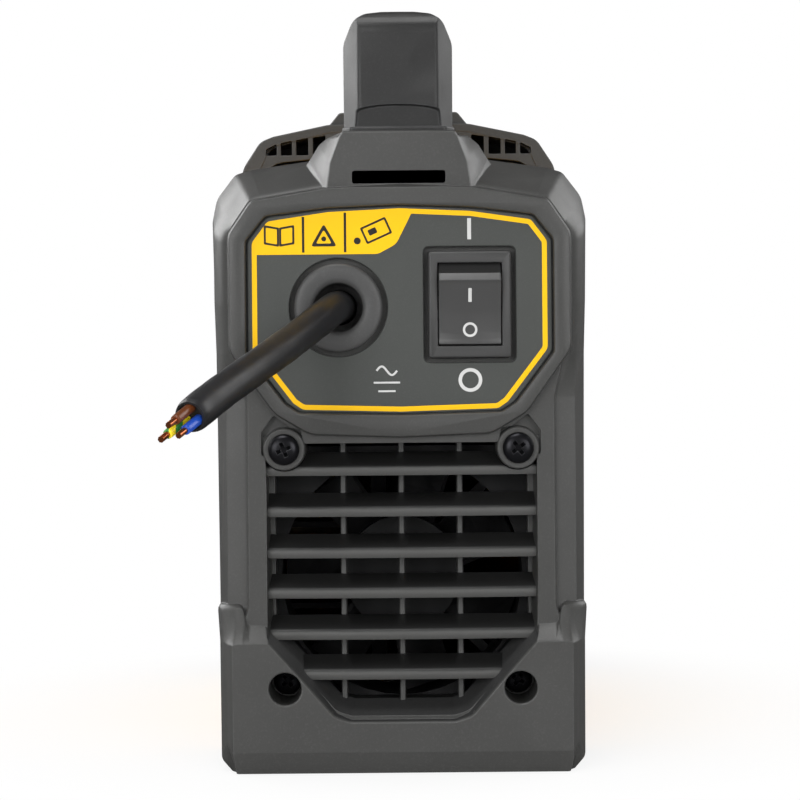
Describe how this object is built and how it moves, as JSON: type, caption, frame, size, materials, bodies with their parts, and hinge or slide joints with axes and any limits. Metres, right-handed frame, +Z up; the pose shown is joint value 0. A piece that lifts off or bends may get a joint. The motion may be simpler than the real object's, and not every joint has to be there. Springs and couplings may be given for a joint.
{
  "type": "stick welding inverter",
  "caption": "Compact stick welding inverter: yellow shell between dark grey end covers, top carrying handle, rocker mains switch, cable entry, louvred fan inlet and output sockets.",
  "frame": {"origin": "on the floor plane, at the middle of the base pan's underside", "axes": "+Z up; +Y towards the mains end with the cable, switch and air inlet; -Y towards the working end with the knob and output sockets; +X to the left when facing the mains end"},
  "size_m": [0.1257, 0.375, 0.2446],
  "materials": {
    "cover": "fine textured dark grey moulded plastic",
    "soft_grip": "soft matt black grip insert",
    "panel": "dark grey printed label with yellow border",
    "shell_yellow": "yellow powder coat",
    "zinc_steel": "zinc plated sheet",
    "black_plastic": "satin black plastic",
    "cable_rubber": "semi-gloss black rubber jacket",
    "core_brown": "brown core insulation",
    "core_blue": "blue core insulation",
    "core_green_yellow": "green and yellow core insulation",
    "switch_gloss": "satin black rocker",
    "display_window": "dark red tinted window",
    "led_green": "diffuse green lens",
    "led_amber": "diffuse amber lens",
    "board_green": "solder mask on glass fibre board",
    "knob_black": "black soft-touch knob with a white pointer",
    "aluminium": "extruded, natural",
    "brass": "turned brass",
    "ferrite": "dark sintered ferrite",
    "copper_winding": "enamelled copper winding with tape",
    "capacitor_sleeve": "shrink sleeve",
    "relay_case": "relay case",
    "black_steel": "black zinc plated"
  },
  "bodies": {
    "housing": {"rear_cover": "cover", "rear_grille": "cover", "front_cover": "cover", "handle": "cover", "handle_underside": "soft_grip", "rear_panel": "panel", "front_panel": "panel", "case_shell": "shell_yellow", "base_chassis": "zinc_steel", "cable_gland": "black_plastic", "gland_nut": "black_plastic", "power_cable": "cable_rubber", "core_line": "core_brown", "core_neutral": "core_blue", "core_earth": "core_green_yellow", "power_switch_body": "black_plastic", "fan_frame": "black_plastic", "display_window": "display_window", "display_module": "black_plastic", "led_power": "led_green", "led_warning": "led_amber", "control_board": "board_green", "current_potentiometer": "zinc_steel", "socket_negative_body": "black_plastic", "socket_positive_body": "black_plastic", "socket_negative_contact": "brass", "socket_positive_contact": "brass", "socket_negative_nut": "brass", "socket_positive_nut": "brass", "main_board": "board_green", "heatsink_left": "aluminium", "heatsink_right": "aluminium", "power_transistor_1": "black_plastic", "power_transistor_2": "black_plastic", "power_transistor_3": "black_plastic", "power_transistor_4": "black_plastic", "transformer_core": "ferrite", "transformer_winding": "copper_winding", "output_choke": "copper_winding", "bus_capacitor_1": "capacitor_sleeve", "bus_capacitor_2": "capacitor_sleeve", "bus_capacitor_3": "capacitor_sleeve", "bridge_rectifier": "black_plastic", "soft_start_relay": "relay_case", "rear_screw_1": "black_steel", "front_screw_1": "black_steel", "case_screw_1": "black_steel", "rear_screw_2": "black_steel", "front_screw_2": "black_steel", "case_screw_2": "black_steel", "rear_screw_3": "black_steel", "front_screw_3": "black_steel", "case_screw_3": "black_steel", "rear_screw_4": "black_steel", "front_screw_4": "black_steel", "case_screw_4": "black_steel"},
    "power_rocker": {"power_rocker": "switch_gloss"},
    "fan_rotor": {"fan_rotor": "black_plastic"},
    "current_knob": {"current_knob": "knob_black", "potentiometer_shaft": "aluminium"}
  },
  "joints": [
    {"name": "power_rocker", "type": "hinge", "parent": "housing", "child": "power_rocker", "pos_m": [-0.0212, 0.1269, 0.1415], "axis": [1, 0, 0], "range_deg": [0, 24]},
    {"name": "fan_spin", "type": "hinge", "parent": "housing", "child": "fan_rotor", "pos_m": [0, 0.0985, 0.0578], "axis": [0, 1, 0], "continuous": true},
    {"name": "current_adjust", "type": "hinge", "parent": "housing", "child": "current_knob", "pos_m": [0, -0.14, 0.122], "axis": [0, 1, 0], "range_deg": [-135, 135]}
  ]
}
